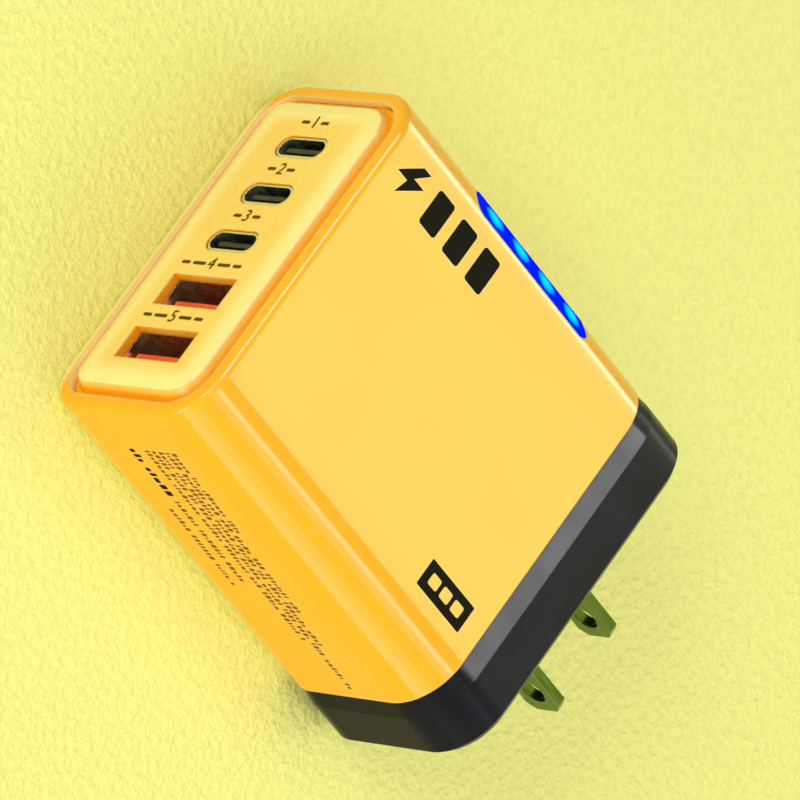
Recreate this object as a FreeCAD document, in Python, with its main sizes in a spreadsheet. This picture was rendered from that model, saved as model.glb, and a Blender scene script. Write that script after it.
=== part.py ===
import FreeCAD, Part
import math
import os
from types import SimpleNamespace

import Sketcher
from FreeCAD import Placement, Rotation, Vector

# Multi-port plug-in charger. X is the width, Y runs from the port face to the blades, Z is up.
# It lies on its large back face. Every piece is drawn from the middle of the port rim.

DIMENSIONS = {
    # Moulded sleeve
    "body_width": 54.8,
    "body_thickness": 30.0,
    "corner_radius": 7.8,
    "back_corner_radius": 6.3,
    "sleeve_length": 55.8,
    "sleeve_wall": 2.0,
    "rim_round": 0.9,
    "seam_chamfer": 0.3,
    "panel_recess": 2.5,
    "ledge_reach": 1.2,
    "ledge_depth": 1.5,
    "fit_gap": 0.1,
    "rail_reach": 1.8,
    "rail_thickness": 1.3,
    "rail_start": 16.0,
    # Port panel
    "flange_thickness": 1.5,
    "plateau_inset": 2.8,
    "plateau_rise": 0.9,
    "plateau_side": 0.8,
    "plateau_bevel": 1.65,
    "plateau_bevel_drop": 0.35,
    "panel_skin": 1.4,
    # Base with the plug face
    "base_length": 10.4,
    "collar_length": 2.9,
    "collar_inset": 0.35,
    "spigot_length": 4.0,
    "spigot_wall": 1.6,
    "end_wall": 2.5,
    "plug_chamfer": 1.0,
    # Blades and the plate that traps them
    "blade_length": 16.0,
    "blade_width": 6.35,
    "blade_thickness": 1.5,
    "blade_pitch": 12.7,
    "blade_tip_chamfer": 1.6,
    "blade_tip_bevel": 0.4,
    "blade_hole_diameter": 3.96,
    "blade_hole_offset": 11.9,
    "shoulder_width": 9.0,
    "shoulder_length": 1.5,
    "tab_width": 4.0,
    "tab_free": 2.5,
    "clamp_width": 24.0,
    "clamp_height": 13.0,
    "clamp_thickness": 3.5,
    # Light bar on the rounded corner
    "bar_length": 26.6,
    "bar_width": 4.2,
    "bar_tilt": 45.0,
    "bar_proud": 0.2,
    "bar_edge_drop": 0.2,
    "bar_end_taper": 4.0,
    "bar_seat_drop": 1.0,
    "bar_flange_margin": 0.7,
    "bar_flange_thickness": 0.8,
    "led_pitch": 6.1,
    "led_length": 2.0,
    "led_width": 1.6,
    "led_height": 0.7,
    "led_board_margin": 0.2,
    "led_board_gap": 1.0,
    "led_board_width": 5.0,
    "led_board_thickness": 0.8,
    "ribbon_width": 5.0,
    "ribbon_thickness": 0.3,
    "ribbon_standoff": 2.5,
    "ribbon_bend": 1.5,
    # Slim receptacles with a central tongue
    "usb_c_first_x": -16.4,
    "usb_c_pitch": 8.0,
    "usb_c_width": 8.94,
    "usb_c_height": 3.26,
    "usb_c_wall": 0.3,
    "usb_c_setback": 0.2,
    "usb_c_clearance": 0.15,
    "usb_c_tongue_width": 6.69,
    "usb_c_tongue_thickness": 0.7,
    "usb_c_tongue_setback": 0.7,
    "usb_c_cavity": 7.0,
    # Flat receptacles with an offset tongue
    "usb_a_first_x": 8.2,
    "usb_a_pitch": 8.9,
    "usb_a_width": 12.5,
    "usb_a_height": 5.12,
    "usb_a_wall": 0.3,
    "usb_a_tongue_width": 11.1,
    "usb_a_tongue_thickness": 1.84,
    "usb_a_tongue_gap": 0.7,
    "usb_a_tongue_setback": 1.0,
    "usb_a_cavity": 10.5,
    "insert_gap": 0.05,
    "contact_width": 1.0,
    "contact_thickness": 0.25,
    "contact_length": 7.0,
    "contact_pitch": 2.3,
    "contact_setback": 0.8,
    # Circuit boards
    "port_board_depth": 14.1,
    "port_board_margin": 1.5,
    "port_board_cut": 4.0,
    "board_thickness": 1.2,
    "board_edge_gap": 0.4,
    "board_rear_gap": 0.4,
    "main_board_level": 7.4,
    "component_gap": 0.6,
    # Transformer
    "core_width": 20.0,
    "core_height": 14.0,
    "core_depth": 10.0,
    "core_leg": 6.0,
    "core_side": 2.5,
    "core_yoke": 3.5,
    "winding_gap": 0.1,
    "winding_round": 1.5,
    # Capacitors
    "bulk_diameter": 9.0,
    "bulk_height": 14.0,
    "output_diameter": 6.3,
    "output_height": 11.0,
    "can_chamfer": 0.6,
    "film_length": 12.0,
    "film_width": 4.6,
    "film_height": 10.0,
    "film_chamfer": 0.6,
    # Mains filter choke
    "choke_width": 8.0,
    "choke_height": 8.4,
    "choke_depth": 4.0,
    "choke_leg": 1.8,
    "choke_build": 1.2,
    # Fuse, rectifier, power chip and heat path
    "fuse_length": 8.0,
    "fuse_width": 4.0,
    "fuse_height": 7.0,
    "rectifier_width": 4.0,
    "rectifier_length": 8.0,
    "rectifier_height": 2.5,
    "chip_side": 8.0,
    "chip_height": 1.0,
    "spreader_width": 34.0,
    "spreader_length": 24.0,
    "spreader_thickness": 0.8,
    "sheet_thickness": 0.4,
    # Mains straps
    "strap_width": 2.0,
    "strap_thickness": 0.8,
    "strap_bend": 1.5,
    "strap_landing": 1.2,
}
USB_C_COUNT = 3
USB_A_COUNT = 2
LED_COUNT = 4
CONTACT_COUNT = 4
BULK_COUNT = 2
OUTPUT_COUNT = 2
FULL_TURN = 360
FLAT_TOLERANCE = 1e-6

doc = FreeCAD.newDocument("Charger")
sheet = doc.addObject("Spreadsheet::Sheet", "Dims")
for row, (alias, number) in enumerate(DIMENSIONS.items(), start=1):
    sheet.set(f"A{row}", alias)
    sheet.set(f"B{row}", str(number))
    sheet.setAlias(f"B{row}", alias)
doc.recompute()


class Size:
    # A length that carries its number and the sheet expression that drives it.
    def __init__(self, value, text):
        self.value = value
        self.text = text

    def __add__(self, other):
        other = as_size(other)
        return Size(self.value + other.value, f"({self.text} + {other.text})")

    def __sub__(self, other):
        other = as_size(other)
        return Size(self.value - other.value, f"({self.text} - {other.text})")

    def __mul__(self, other):
        other = as_size(other)
        return Size(self.value * other.value, f"({self.text} * {other.text})")

    def __truediv__(self, other):
        other = as_size(other)
        return Size(self.value / other.value, f"({self.text} / {other.text})")

    def __neg__(self):
        return Size(-self.value, f"(0 - {self.text})")

    def __rmul__(self, other):
        return as_size(other) * self


def as_size(number):
    return number if isinstance(number, Size) else Size(float(number), str(number))


def sine(angle):
    return Size(math.sin(math.radians(angle.value)), f"sin({angle.text})")


def cosine(angle):
    return Size(math.cos(math.radians(angle.value)), f"cos({angle.text})")


d = SimpleNamespace(**{name: Size(float(sheet.get(name)), f"Dims.{name}") for name in DIMENSIONS})
zero = as_size(0)
nodes = []

# Places shared by several pieces, all measured from the middle of the port rim
total_length = d.plateau_rise + d.sleeve_length + d.base_length + d.blade_length
rim_y = d.plateau_rise - total_length / 2
middle_z = d.body_thickness / 2
plug_y = d.sleeve_length + d.base_length
end_wall_y = plug_y - d.end_wall
clamp_y = end_wall_y - d.clamp_thickness
tab_end_y = clamp_y - d.tab_free
groove_y = d.panel_recess - d.flange_thickness
skin_back_y = d.panel_skin - d.plateau_rise
board_rear_y = d.sleeve_length - d.spigot_length - d.board_rear_gap
board_front_y = d.port_board_depth + d.board_thickness
board_bottom_z = d.main_board_level - d.body_thickness / 2
board_top_z = board_bottom_z + d.board_thickness
inner_half_width = d.body_width / 2 - d.sleeve_wall
rail_tip_x = inner_half_width - d.rail_reach
corner_x = d.corner_radius - d.body_width / 2
corner_z = d.body_thickness / 2 - d.corner_radius
led_board_length = d.bar_length + 2 * d.led_board_margin
bar_center = board_front_y + d.led_board_gap + led_board_length / 2
bar_flange_top = d.corner_radius - d.sleeve_wall - d.bar_seat_drop
bar_flange_bottom = bar_flange_top - d.bar_flange_thickness
led_board_top = bar_flange_bottom - d.led_height
led_board_bottom = led_board_top - d.led_board_thickness
usb_c_mouth_y = d.usb_c_setback - d.plateau_rise
usb_c_inner_width = d.usb_c_width - 2 * d.usb_c_wall
usb_c_inner_height = d.usb_c_height - 2 * d.usb_c_wall

# The main board's layout: three rows run from its front edge towards the blades
blade_x = d.blade_pitch / 2
landing_y = board_rear_y - d.strap_landing
ribbon_bend_reach = led_board_bottom - d.ribbon_standoff
ribbon_x = corner_x - ribbon_bend_reach * sine(d.bar_tilt)
row_start_y = board_front_y + d.component_gap
window = (d.core_width - d.core_leg) / 2 - d.core_side
winding_build = window - d.winding_gap
left_row_edge = ribbon_x + d.ribbon_thickness + d.component_gap
bulk_x = left_row_edge + d.bulk_diameter / 2
bulk_pitch = d.bulk_diameter + d.component_gap
choke_reach = d.choke_width / 2 + d.winding_gap + d.choke_build
choke_x = left_row_edge + choke_reach
choke_y = row_start_y + BULK_COUNT * bulk_pitch + d.choke_depth / 2 + d.winding_gap + d.choke_build
transformer_x = rail_tip_x - d.component_gap - d.core_width / 2
output_pitch = d.output_diameter + d.component_gap
transformer_y = row_start_y + output_pitch + d.core_depth / 2 + winding_build
film_x = rail_tip_x - d.component_gap - d.film_length / 2
film_y = transformer_y + d.core_depth / 2 + winding_build + d.component_gap + d.film_width / 2
rectifier_x = (bulk_x + d.bulk_diameter / 2 + transformer_x - d.core_width / 2) / 2


def bind(feature, name, size):
    feature.setExpression(name, size.text)


def place(feature, x, y, z):
    bind(feature, "Placement.Base.x", x)
    bind(feature, "Placement.Base.y", rim_y + y)
    bind(feature, "Placement.Base.z", middle_z + z)


def new_node(kind, label, x=zero, y=zero, z=zero):
    node = doc.addObject(kind, label)
    node.Label = label
    place(node, x, y, z)
    nodes.append(node)
    return node


def new_body(label, x=zero, y=zero, z=zero):
    return new_node("PartDesign::Body", label, x, y, z)


def new_sketch(body, role, offset):
    plane = next(item for item in body.Origin.OriginFeatures if item.Role == role)
    sketch = body.newObject("Sketcher::SketchObject", f"{body.Name}_sketch")
    sketch.AttachmentSupport = [(plane, "")]
    sketch.MapMode = "FlatFace"
    bind(sketch, "AttachmentOffset.Base.z", offset)
    return sketch


def section(body, y):
    # Sketch across the length: sketch x is X, sketch y is Z
    return new_sketch(body, "XZ_Plane", -y)


def plan(body, z):
    # Sketch seen from above: sketch x is X, sketch y is Y
    return new_sketch(body, "XY_Plane", z)


def side(body, x):
    # Sketch seen from the side: sketch x is Y, sketch y is Z
    return new_sketch(body, "YZ_Plane", x)


def dimension(sketch, kind, *places, size):
    index = sketch.addConstraint(Sketcher.Constraint(kind, *places, size.value))
    name = f"{kind.lower()}_{index}"
    sketch.renameConstraint(index, name)
    sketch.setExpression(f"Constraints.{name}", size.text)


def fix_point(sketch, geometry, end, x, y):
    dimension(sketch, "DistanceX", -1, 1, geometry, end, size=x)
    dimension(sketch, "DistanceY", -1, 1, geometry, end, size=y)


def ccw_arc(center, radius, first, last):
    # Arcs run counter-clockwise; the flag says whether first is the arc's start.
    start = math.atan2(first.y - center.y, first.x - center.x)
    stop = math.atan2(last.y - center.y, last.x - center.x)
    forward = (stop - start) % (2 * math.pi) < math.pi
    if not forward:
        start, stop = stop, start
    circle = Part.Circle(center, Vector(0, 0, 1), radius)
    return Part.ArcOfCircle(circle, start, start + (stop - start) % (2 * math.pi)), forward


def outline(sketch, corners, closed=True):
    # Straight runs through the corners (x, y, radius); a radius rounds its corner with a tangent arc.
    count = len(corners)
    points = [Vector(x.value, y.value, 0) for x, y, radius in corners]
    entries = list(points)
    exits = list(points)
    centers = {}
    for index, (x, y, radius) in enumerate(corners):
        if radius is None:
            continue
        back = (points[index - 1] - points[index]).normalize()
        ahead = (points[(index + 1) % count] - points[index]).normalize()
        half = back.getAngle(ahead) / 2
        entries[index] = points[index] + back * (radius.value / math.tan(half))
        exits[index] = points[index] + ahead * (radius.value / math.tan(half))
        centers[index] = points[index] + (back + ahead).normalize() * (radius.value / math.sin(half))
    lines = []
    for index in range(count if closed else count - 1):
        run = Part.LineSegment(exits[index], entries[(index + 1) % count])
        lines.append(sketch.addGeometry(run))
    for index, (x, y, radius) in enumerate(corners):
        before = lines[index - 1]
        if not closed and index == count - 1:
            fix_point(sketch, before, 2, x, y)
            continue
        after = lines[index]
        if radius is None:
            fix_point(sketch, after, 1, x, y)
            if closed or index > 0:
                sketch.addConstraint(Sketcher.Constraint("Coincident", before, 2, after, 1))
            continue
        corner = sketch.addGeometry(Part.Point(points[index]), True)
        fix_point(sketch, corner, 1, x, y)
        sketch.addConstraint(Sketcher.Constraint("PointOnObject", corner, 1, before))
        sketch.addConstraint(Sketcher.Constraint("PointOnObject", corner, 1, after))
        arc, forward = ccw_arc(centers[index], radius.value, entries[index], exits[index])
        bend = sketch.addGeometry(arc)
        first, last = (1, 2) if forward else (2, 1)
        sketch.addConstraint(Sketcher.Constraint("Tangent", before, 2, bend, first))
        sketch.addConstraint(Sketcher.Constraint("Tangent", bend, last, after, 1))
        dimension(sketch, "Radius", bend, size=radius)


def rectangle(sketch, left, bottom, right, top, radius=None):
    corners = ((left, bottom), (right, bottom), (right, top), (left, top))
    outline(sketch, [(x, y, radius) for x, y in corners])


def centered_rectangle(sketch, width, height, radius=None, x=zero, y=zero):
    rectangle(sketch, x - width / 2, y - height / 2, x + width / 2, y + height / 2, radius)


def circle(sketch, x, y, diameter):
    ring = sketch.addGeometry(Part.Circle(Vector(x.value, y.value, 0), Vector(0, 0, 1), diameter.value / 2))
    fix_point(sketch, ring, 3, x, y)
    dimension(sketch, "Diameter", ring, size=diameter)


def upright_slot(sketch, x, y, length, width):
    # Straight sides joined by half circles, long side along the sketch's y
    reach = (length - width) / 2
    radius = width / 2
    lower = Vector(x.value, (y - reach).value, 0)
    upper = Vector(x.value, (y + reach).value, 0)
    aside = Vector(radius.value, 0, 0)
    top = sketch.addGeometry(Part.ArcOfCircle(Part.Circle(upper, Vector(0, 0, 1), radius.value), 0, math.pi))
    bottom = sketch.addGeometry(
        Part.ArcOfCircle(Part.Circle(lower, Vector(0, 0, 1), radius.value), math.pi, 2 * math.pi))
    left = sketch.addGeometry(Part.LineSegment(upper - aside, lower - aside))
    right = sketch.addGeometry(Part.LineSegment(lower + aside, upper + aside))
    for first, first_end, second, second_end in ((top, 2, left, 1), (left, 2, bottom, 1),
                                                 (bottom, 2, right, 1), (right, 2, top, 1)):
        sketch.addConstraint(Sketcher.Constraint("Tangent", first, first_end, second, second_end))
    fix_point(sketch, top, 3, x, y + reach)
    fix_point(sketch, bottom, 3, x, y - reach)
    dimension(sketch, "Radius", top, size=radius)


def add_feature(body, kind, sketch, length=None, backward=False, symmetric=False):
    feature = body.newObject(f"PartDesign::{kind}", f"{body.Name}_{kind}")
    feature.Profile = sketch
    feature.Reversed = backward
    if symmetric:
        feature.SideType = "Symmetric"
    if length is None:
        feature.Type = "ThroughAll"
    else:
        bind(feature, "Length", length)
    return feature


def pad_along(body, sketch, length):
    # Material from a section towards the blades
    return add_feature(body, "Pad", sketch, length, backward=True)


def pad_up(body, sketch, length):
    return add_feature(body, "Pad", sketch, length)


def cut_along(body, sketch, length=None):
    # Cut from a section towards the blades
    return add_feature(body, "Pocket", sketch, length)


def repeat_along_x(body, feature, pitch, count):
    axis = next(item for item in body.Origin.OriginFeatures if item.Role == "X_Axis")
    pattern = body.newObject("PartDesign::LinearPattern", f"{body.Name}_pattern")
    pattern.Originals = [feature]
    pattern.Direction = (axis, [""])
    pattern.Mode = "Spacing"
    pattern.Occurrences = count
    bind(pattern, "Offset", pitch)
    body.Tip = pattern
    return pattern


def edges_around(shape, y):
    # Outer edges of the largest flat face that looks along Y at this place
    faces = [face for face in shape.Faces
             if abs(face.BoundBox.YMin - y.value) < FLAT_TOLERANCE
             and abs(face.BoundBox.YMax - y.value) < FLAT_TOLERANCE]
    face = max(faces, key=lambda item: item.BoundBox.DiagonalLength)
    border = face.OuterWire.Edges
    return [f"Edge{index}" for index, edge in enumerate(shape.Edges, start=1)
            if any(edge.isSame(other) for other in border)]


def edges_level(shape, z):
    # Every edge that lies flat at this height
    return [f"Edge{index}" for index, edge in enumerate(shape.Edges, start=1)
            if abs(edge.BoundBox.ZMin - z.value) < FLAT_TOLERANCE
            and abs(edge.BoundBox.ZMax - z.value) < FLAT_TOLERANCE]


def fillet(body, edges, radius):
    base = body.Tip
    feature = body.newObject("PartDesign::Fillet", f"{body.Name}_fillet")
    feature.Base = (base, edges)
    bind(feature, "Radius", radius)


def chamfer(body, edges, size):
    base = body.Tip
    feature = body.newObject("PartDesign::Chamfer", f"{body.Name}_chamfer")
    feature.Base = (base, edges)
    bind(feature, "Size", size)


def loft_along(body, ends):
    # Material between two outlines of the housing, each given by its place and its inset
    sketches = []
    for y, inset in ends:
        sketch = section(body, y)
        body_outline(sketch, inset)
        sketches.append(sketch)
    loft = body.newObject("PartDesign::AdditiveLoft", f"{body.Name}_loft")
    loft.Profile = sketches[0]
    loft.Sections = sketches[1:]


def plain_box(label, x, y, z, length, width, height):
    # A rectangular piece given by its middle in X and Y and its lowest height
    node = new_node("Part::Box", label, x - length / 2, y - width / 2, z)
    bind(node, "Length", length)
    bind(node, "Width", width)
    bind(node, "Height", height)
    return node


def body_outline(sketch, inset):
    # The housing's rounded rectangle, drawn in by an inset; its back corners are tighter than its front ones
    right = d.body_width / 2 - inset
    top = d.body_thickness / 2 - inset
    back = d.back_corner_radius - inset
    front = d.corner_radius - inset
    outline(sketch, [(-right, -top, back), (right, -top, back), (right, top, front), (-right, top, front)])


# Sleeve: a tube with a rounded rim, four ledges for the panel, board rails and a slot on one corner
sleeve = new_body("housing_sleeve")
sketch = section(sleeve, zero)
body_outline(sketch, zero)
pad_along(sleeve, sketch, d.sleeve_length)
sketch = section(sleeve, zero)
body_outline(sketch, d.sleeve_wall)
cut_along(sleeve, sketch)
doc.recompute()
fillet(sleeve, edges_around(sleeve.Tip.Shape, zero), d.rim_round)
doc.recompute()
chamfer(sleeve, edges_around(sleeve.Tip.Shape, d.sleeve_length), d.seam_chamfer)
rail_root_x = d.body_width / 2 - d.sleeve_wall / 2
ledge_root_z = d.body_thickness / 2 - d.sleeve_wall / 2
ledge_tip_x = inner_half_width - d.ledge_reach
ledge_tip_z = d.body_thickness / 2 - d.sleeve_wall - d.ledge_reach
ledge_end_x = d.body_width / 2 - d.corner_radius
ledge_end_z = d.body_thickness / 2 - d.corner_radius
sketch = section(sleeve, d.panel_recess)
rectangle(sketch, ledge_tip_x, -ledge_end_z, rail_root_x, ledge_end_z)
rectangle(sketch, -rail_root_x, -ledge_end_z, -ledge_tip_x, ledge_end_z)
rectangle(sketch, -ledge_end_x, ledge_tip_z, ledge_end_x, ledge_root_z)
rectangle(sketch, -ledge_end_x, -ledge_root_z, ledge_end_x, -ledge_tip_z)
pad_along(sleeve, sketch, d.ledge_depth)
rail_bottoms = (board_bottom_z - d.fit_gap - d.rail_thickness, board_top_z + d.fit_gap)
sketch = section(sleeve, d.rail_start)
for rail_bottom in rail_bottoms:
    rectangle(sketch, rail_tip_x, rail_bottom, rail_root_x, rail_bottom + d.rail_thickness)
    rectangle(sketch, -rail_root_x, rail_bottom, -rail_tip_x, rail_bottom + d.rail_thickness)
pad_along(sleeve, sketch, board_rear_y - d.rail_start)
sketch = plan(sleeve, corner_z)
sketch.AttachmentOffset = Placement(Vector(), Rotation(Vector(0, -1, 0), d.bar_tilt.value))
bind(sketch, "AttachmentOffset.Base.x", corner_x)
bind(sketch, "AttachmentOffset.Rotation.Angle", d.bar_tilt)
upright_slot(sketch, zero, bar_center, d.bar_length + 2 * d.fit_gap, d.bar_width + 2 * d.fit_gap)
add_feature(sleeve, "Pocket", sketch, 2 * d.corner_radius, backward=True)

# Port panel: a flange that seats on the ledges and a plateau with steep sides and a wide bevel, hollow behind
bevel_y = d.plateau_bevel_drop - d.plateau_rise
bevel_inset = d.plateau_inset + d.plateau_side
panel = new_body("port_panel")
sketch = section(panel, groove_y)
body_outline(sketch, d.sleeve_wall + d.fit_gap)
pad_along(panel, sketch, d.flange_thickness)
loft_along(panel, ((groove_y, d.plateau_inset), (bevel_y, bevel_inset)))
loft_along(panel, ((bevel_y, bevel_inset), (-d.plateau_rise, bevel_inset + d.plateau_bevel)))
sketch = section(panel, skin_back_y)
body_outline(sketch, d.plateau_inset + d.panel_skin)
cut_along(panel, sketch)
sketch = section(panel, -d.plateau_rise)
upright_slot(sketch, d.usb_c_first_x, zero, d.usb_c_width + 2 * d.usb_c_clearance,
             d.usb_c_height + 2 * d.usb_c_clearance)
repeat_along_x(panel, cut_along(panel, sketch, d.panel_skin), d.usb_c_pitch, USB_C_COUNT)
sketch = section(panel, -d.plateau_rise)
centered_rectangle(sketch, d.usb_a_height, d.usb_a_width, x=d.usb_a_first_x)
repeat_along_x(panel, cut_along(panel, sketch, d.panel_skin), d.usb_a_pitch, USB_A_COUNT)

# Base: spigot into the sleeve, bevelled collar, straight band and plug face with the blade slots
base = new_body("base_cover")
sketch = section(base, d.sleeve_length + d.collar_length)
body_outline(sketch, zero)
pad_along(base, sketch, d.base_length - d.collar_length)
doc.recompute()
chamfer(base, edges_around(base.Tip.Shape, plug_y), d.plug_chamfer)
loft_along(base, ((d.sleeve_length, d.collar_inset), (d.sleeve_length + d.collar_length, zero)))
sketch = section(base, d.sleeve_length - d.spigot_length)
body_outline(sketch, d.sleeve_wall + d.fit_gap)
pad_along(base, sketch, d.spigot_length)
sketch = section(base, d.sleeve_length - d.spigot_length)
body_outline(sketch, d.sleeve_wall + d.fit_gap + d.spigot_wall)
cut_along(base, sketch, d.spigot_length + d.base_length - d.end_wall)
sketch = section(base, end_wall_y)
for sign in (-1, 1):
    centered_rectangle(sketch, d.blade_thickness + 2 * d.insert_gap, d.blade_width + 2 * d.insert_gap,
                       x=sign * blade_x)
cut_along(base, sketch, d.end_wall)

# Blades: flat strips with a chamfered tip, a detent hole, a shoulder and a solder tab
tip_y = plug_y + d.blade_length
shoulder_y = end_wall_y - d.shoulder_length
for label, sign in (("blade_left", -1), ("blade_right", 1)):
    blade = new_body(label, x=sign * blade_x)
    upper = [
        (tip_y, d.blade_width / 2 - d.blade_tip_chamfer),
        (tip_y - d.blade_tip_chamfer, d.blade_width / 2),
        (end_wall_y, d.blade_width / 2),
        (end_wall_y, d.shoulder_width / 2),
        (shoulder_y, d.shoulder_width / 2),
        (shoulder_y, d.tab_width / 2),
        (tab_end_y, d.tab_width / 2),
    ]
    lower = [(y, -z) for y, z in reversed(upper)]
    sketch = side(blade, zero)
    outline(sketch, [(y, z, None) for y, z in upper + lower])
    add_feature(blade, "Pad", sketch, d.blade_thickness, symmetric=True)
    sketch = side(blade, zero)
    circle(sketch, plug_y + d.blade_hole_offset, zero, d.blade_hole_diameter)
    add_feature(blade, "Pocket", sketch, 2 * d.blade_thickness, symmetric=True)
    doc.recompute()
    chamfer(blade, edges_around(blade.Tip.Shape, tip_y), d.blade_tip_bevel)

# Clamp plate behind the end wall: slots for the tabs, recesses for the shoulders
clamp = new_body("blade_clamp")
sketch = section(clamp, clamp_y)
centered_rectangle(sketch, d.clamp_width, d.clamp_height)
pad_along(clamp, sketch, d.clamp_thickness)
for start_y, height in ((clamp_y, d.tab_width), (shoulder_y - d.insert_gap, d.shoulder_width)):
    sketch = section(clamp, start_y)
    for sign in (-1, 1):
        centered_rectangle(sketch, d.blade_thickness + 2 * d.insert_gap, height + 2 * d.insert_gap,
                           x=sign * blade_x)
    cut_along(clamp, sketch)

# Mains straps: bent strips from the blade tabs down to the main board
strap_half = d.strap_thickness / 2
for label, sign in (("neutral_strap", -1), ("live_strap", 1)):
    strap = new_body(label, x=sign * blade_x)
    sketch = side(strap, zero)
    outline(sketch, [
        (tab_end_y, -strap_half, None),
        (tab_end_y, strap_half, None),
        (landing_y - strap_half, strap_half, d.strap_bend + d.strap_thickness),
        (landing_y - strap_half, board_top_z, None),
        (landing_y + strap_half, board_top_z, None),
        (landing_y + strap_half, -strap_half, d.strap_bend),
    ])
    add_feature(strap, "Pad", sketch, d.strap_width, symmetric=True)

# Light bar: a lens crowned across and tapered at its ends, with a flange inside the sleeve
bar = new_body("light_bar", corner_x, bar_center, corner_z)


def tilt_outward(node):
    # Local Z looks out of the rounded corner
    node.Placement = Placement(node.Placement.Base, Rotation(Vector(0, -1, 0), d.bar_tilt.value))
    bind(node, "Placement.Rotation.Angle", d.bar_tilt)


tilt_outward(bar)
bar_edge = d.corner_radius - d.bar_edge_drop
bar_top = d.corner_radius + d.bar_proud
crown_rise = bar_top - bar_edge
crown_radius = (d.bar_width * d.bar_width / 4 + crown_rise * crown_rise) / (2 * crown_rise)
trim_margin = d.bar_width / 4
sketch = plan(bar, bar_flange_bottom)
upright_slot(sketch, zero, zero, d.bar_length + 2 * d.bar_flange_margin,
             d.bar_width + 2 * d.bar_flange_margin)
pad_up(bar, sketch, d.bar_flange_thickness)
sketch = plan(bar, bar_flange_top)
upright_slot(sketch, zero, zero, d.bar_length, d.bar_width)
pad_up(bar, sketch, bar_top - bar_flange_top)
sketch = section(bar, zero)
crown_center = Vector(0, (bar_top - crown_radius).value, 0)
crown_left = Vector(-d.bar_width.value / 2, bar_edge.value, 0)
crown_right = Vector(d.bar_width.value / 2, bar_edge.value, 0)
crown_arc, forward = ccw_arc(crown_center, crown_radius.value, crown_right, crown_left)
crown = sketch.addGeometry(crown_arc)
fix_point(sketch, crown, 1, d.bar_width / 2, bar_edge)
fix_point(sketch, crown, 2, -d.bar_width / 2, bar_edge)
dimension(sketch, "Radius", crown, size=crown_radius)
trim = [(-d.bar_width / 2, bar_edge), (-d.bar_width / 2 - trim_margin, bar_edge),
        (-d.bar_width / 2 - trim_margin, bar_top + trim_margin),
        (d.bar_width / 2 + trim_margin, bar_top + trim_margin),
        (d.bar_width / 2 + trim_margin, bar_edge), (d.bar_width / 2, bar_edge)]
outline(sketch, [(x, z, None) for x, z in trim], closed=False)
add_feature(bar, "Pocket", sketch, 2 * d.bar_length, symmetric=True)
sketch = side(bar, zero)
for sign in (-1, 1):
    outline(sketch, [(sign * d.bar_length / 2, bar_edge, None),
                     (sign * (d.bar_length / 2 - d.bar_end_taper), bar_top + d.insert_gap, None),
                     (sign * (d.bar_length / 2 + trim_margin), bar_top + d.insert_gap, None),
                     (sign * (d.bar_length / 2 + trim_margin), bar_edge, None)])
add_feature(bar, "Pocket", sketch, 2 * d.bar_width, symmetric=True)

# Indicator board with its row of lamps against the back of the bar
led_board = new_body("indicator_board", corner_x, bar_center, corner_z)
tilt_outward(led_board)
sketch = plan(led_board, led_board_bottom)
centered_rectangle(sketch, d.led_board_width, led_board_length)
pad_up(led_board, sketch, d.led_board_thickness)
leds = new_body("indicator_leds", corner_x, bar_center, corner_z)
tilt_outward(leds)
sketch = plan(leds, led_board_top)
for index in range(LED_COUNT):
    centered_rectangle(sketch, d.led_width, d.led_length, y=(index - (LED_COUNT - 1) / 2) * d.led_pitch)
pad_up(leds, sketch, d.led_height)

# Flat ribbon from the indicator board down to the main board
ribbon = new_body("indicator_ribbon")
ribbon_end_x = corner_x - led_board_bottom * sine(d.bar_tilt)
ribbon_end_z = corner_z + led_board_bottom * cosine(d.bar_tilt)
ribbon_side_x = d.ribbon_thickness * cosine(d.bar_tilt)
ribbon_side_z = d.ribbon_thickness * sine(d.bar_tilt)
ribbon_bend_z = corner_z + ribbon_bend_reach * cosine(d.bar_tilt)
ribbon_inner_z = ribbon_bend_z + d.ribbon_thickness * (as_size(1) - cosine(d.bar_tilt)) / sine(d.bar_tilt)
sketch = section(ribbon, bar_center)
outline(sketch, [
    (ribbon_x, board_top_z, None),
    (ribbon_x, ribbon_bend_z, d.ribbon_bend),
    (ribbon_end_x, ribbon_end_z, None),
    (ribbon_end_x + ribbon_side_x, ribbon_end_z + ribbon_side_z, None),
    (ribbon_x + d.ribbon_thickness, ribbon_inner_z, d.ribbon_bend + d.ribbon_thickness),
    (ribbon_x + d.ribbon_thickness, board_top_z, None),
])
add_feature(ribbon, "Pad", sketch, d.ribbon_width, symmetric=True)

# Slim receptacles: an oval steel shell round an insert with a central tongue
for number in range(USB_C_COUNT):
    port_x = d.usb_c_first_x + number * d.usb_c_pitch
    shell = new_body(f"usb_c_shell_{number + 1}", x=port_x)
    sketch = section(shell, usb_c_mouth_y)
    upright_slot(sketch, zero, zero, d.usb_c_width, d.usb_c_height)
    upright_slot(sketch, zero, zero, usb_c_inner_width, usb_c_inner_height)
    pad_along(shell, sketch, d.port_board_depth - usb_c_mouth_y)
    insert = new_body(f"usb_c_insert_{number + 1}", x=port_x)
    block_y = usb_c_mouth_y + d.usb_c_cavity
    sketch = section(insert, block_y)
    upright_slot(sketch, zero, zero, usb_c_inner_width - 2 * d.insert_gap,
                 usb_c_inner_height - 2 * d.insert_gap)
    pad_along(insert, sketch, d.port_board_depth - block_y)
    tongue_y = usb_c_mouth_y + d.usb_c_tongue_setback
    sketch = section(insert, tongue_y)
    centered_rectangle(sketch, d.usb_c_tongue_thickness, d.usb_c_tongue_width)
    pad_along(insert, sketch, block_y - tongue_y)

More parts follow.
